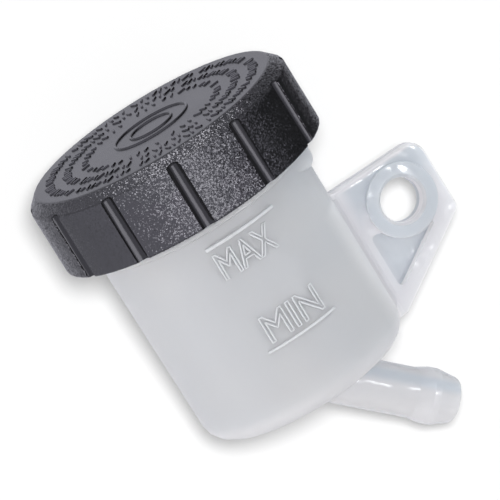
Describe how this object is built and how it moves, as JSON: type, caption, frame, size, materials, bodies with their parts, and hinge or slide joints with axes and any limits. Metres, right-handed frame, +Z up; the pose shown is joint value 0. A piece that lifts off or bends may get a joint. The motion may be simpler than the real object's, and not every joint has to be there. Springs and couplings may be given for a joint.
{
  "type": "brake fluid reservoir",
  "caption": "Small translucent cup with a fluted screw cap, a side ear for one bolt and a hose barb that leaves the base at 45 degrees.",
  "frame": {"origin": "centre of the ear's bolt hole, on the ear's rear face where it meets the bracket", "axes": "+Z up along the cup's axis, +Y out of the ear's rear face towards the bracket, +X away from the cup along the ear"},
  "size_m": [0.0508, 0.04, 0.0583],
  "materials": {
    "milky_plastic": "translucent natural plastic with a soft sheen, through which the fluid level can be seen",
    "black_plastic": "finely grained matte moulding",
    "white_plastic": "smooth, low friction",
    "black_rubber": "smooth moulded rubber"
  },
  "bodies": {
    "reservoir": {"reservoir_body": "milky_plastic"},
    "liner": {"slip_washer": "white_plastic", "diaphragm": "black_rubber"},
    "cap": {"screw_cap": "black_plastic"}
  },
  "joints": [
    {"name": "cap_lift", "type": "slide", "parent": "reservoir", "child": "liner", "axis": [0, 0, 1], "range_m": [0, 0.00315]},
    {"name": "cap_turn", "type": "hinge", "parent": "liner", "child": "cap", "pos_m": [-0.0243, -0.0014, 0.02285], "axis": [0, 0, 1], "range_deg": [0, 450]}
  ],
  "couplings": [
    {"joint": "cap_lift", "follows": "cap_turn", "m_per_rad": 0.00039789}
  ]
}
